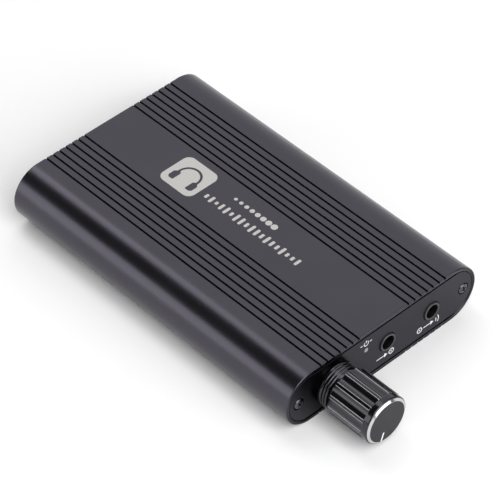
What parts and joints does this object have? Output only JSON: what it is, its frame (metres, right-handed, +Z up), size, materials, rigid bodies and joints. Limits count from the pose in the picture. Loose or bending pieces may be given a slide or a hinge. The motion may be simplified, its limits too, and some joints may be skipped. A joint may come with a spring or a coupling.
{
  "type": "headphone amplifier",
  "caption": "Portable headphone amplifier: flat round-edged grooved aluminium case with a fluted volume knob, two jacks, a lamp and screwed end plates.",
  "frame": {"origin": "centre of the case's flat underside, on the face it rests on", "axes": "+Z up, -Y out of the front plate with the knob and the two jacks, +X to the right when the front is seen from outside"},
  "size_m": [0.0716, 0.1317, 0.0185],
  "materials": {
    "anodised_case": "bead-blasted black anodised, satin",
    "anodised_plate": "black anodised, fine satin",
    "anodised_knob": "turned and black anodised, gloss",
    "polished_rim": "diamond-cut bright rim",
    "silver_print": "screen-printed silver grey ink",
    "white_print": "screen-printed white ink",
    "black_nickel": "black nickel plated",
    "bright_steel": "bright stamped steel",
    "nickel_brass": "nickel plated",
    "black_nylon": "moulded",
    "white_nylon": "moulded",
    "clear_acrylic": "clear, frosted end",
    "green_board": "green solder mask",
    "pouch_film": "satin film",
    "grey_foam": "closed-cell foam",
    "red_wire": "silicone insulation",
    "black_wire": "silicone insulation"
  },
  "bodies": {
    "amplifier": {"case_shell": "anodised_case", "front_plate": "anodised_plate", "rear_plate": "anodised_plate", "front_screw_left": "black_nickel", "front_screw_right": "black_nickel", "rear_screw_left": "black_nickel", "rear_screw_right": "black_nickel", "input_jack_body": "black_nylon", "output_jack_body": "black_nylon", "input_jack_tip_contact": "nickel_brass", "input_jack_sleeve_contact": "nickel_brass", "output_jack_tip_contact": "nickel_brass", "output_jack_sleeve_contact": "nickel_brass", "volume_control_body": "bright_steel", "volume_control_bushing": "nickel_brass", "volume_control_washer": "bright_steel", "volume_control_nut": "bright_steel", "volume_control_terminal_1": "nickel_brass", "volume_control_terminal_2": "nickel_brass", "volume_control_terminal_3": "nickel_brass", "power_light_pin": "clear_acrylic", "power_lamp": "clear_acrylic", "power_lamp_leg_left": "nickel_brass", "power_lamp_leg_right": "nickel_brass", "charge_light_pin": "clear_acrylic", "charge_lamp": "clear_acrylic", "charge_lamp_leg_left": "nickel_brass", "charge_lamp_leg_right": "nickel_brass", "charging_socket_shell": "bright_steel", "charging_socket_tongue": "black_nylon", "gain_switch_frame": "bright_steel", "circuit_board": "green_board", "amplifier_chip_left": "black_nylon", "amplifier_chip_right": "black_nylon", "charging_chip": "black_nylon", "converter_chip": "black_nylon", "converter_coil": "black_nylon", "capacitor_1": "pouch_film", "capacitor_2": "pouch_film", "capacitor_3": "pouch_film", "capacitor_4": "pouch_film", "cell_pad": "grey_foam", "battery_cell": "pouch_film", "battery_connector": "white_nylon", "battery_lead_red": "red_wire", "battery_lead_black": "black_wire"},
    "volume_knob": {"volume_control_shaft": "nickel_brass", "knob_core": "black_nylon", "knob_sleeve": "anodised_knob"},
    "gain_lever": {"gain_switch_lever": "black_nylon"}
  },
  "joints": [
    {"name": "knob_turn", "type": "hinge", "parent": "amplifier", "child": "volume_knob", "pos_m": [-0.0188, -0.05525, 0.00925], "axis": [0, 1, 0], "range_deg": [0, 300]},
    {"name": "gain_slide", "type": "slide", "parent": "amplifier", "child": "gain_lever", "axis": [-1, 0, 0], "range_m": [0, 0.002]}
  ]
}
